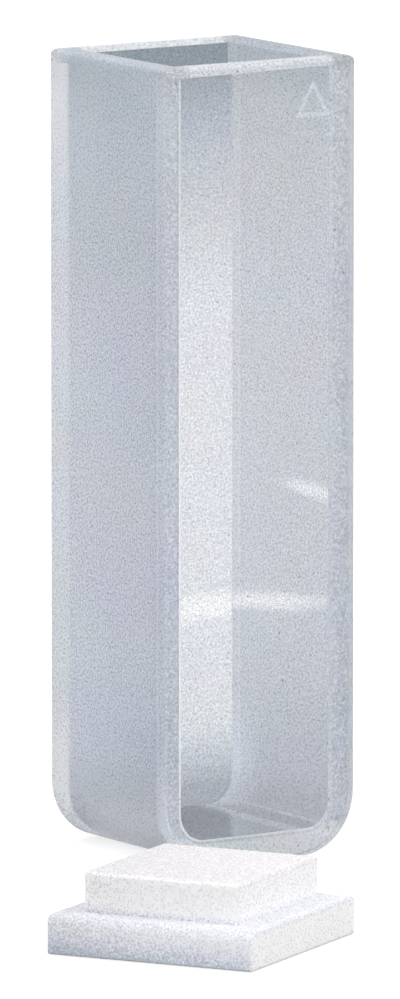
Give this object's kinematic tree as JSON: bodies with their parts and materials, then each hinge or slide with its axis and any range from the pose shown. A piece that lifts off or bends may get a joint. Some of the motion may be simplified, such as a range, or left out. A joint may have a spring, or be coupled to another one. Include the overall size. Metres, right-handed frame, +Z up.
{
  "type": "cuvette",
  "caption": "Square glass spectrometer cell with polished windows, ground sides and rounded bottom corners, with its white plug lid lying beside it.",
  "frame": {"origin": "centre of the cell's underside, on the surface that the cell stands on", "axes": "+Z up along the cell to its mouth, X across the two ground sides, Y along the light path with the front window at -Y"},
  "size_m": [0.0315, 0.0401, 0.045],
  "materials": {
    "ground_glass": "optical glass, outer sides ground to a fine frost, inner faces smooth",
    "polished_glass": "optical glass, polished, with ground edges and rim",
    "fluoropolymer": "white, waxy, slightly translucent, machined"
  },
  "bodies": {
    "root": {"u_frame": "ground_glass", "front_window": "polished_glass", "rear_window": "polished_glass", "lid": "fluoropolymer"}
  },
  "joints": []
}
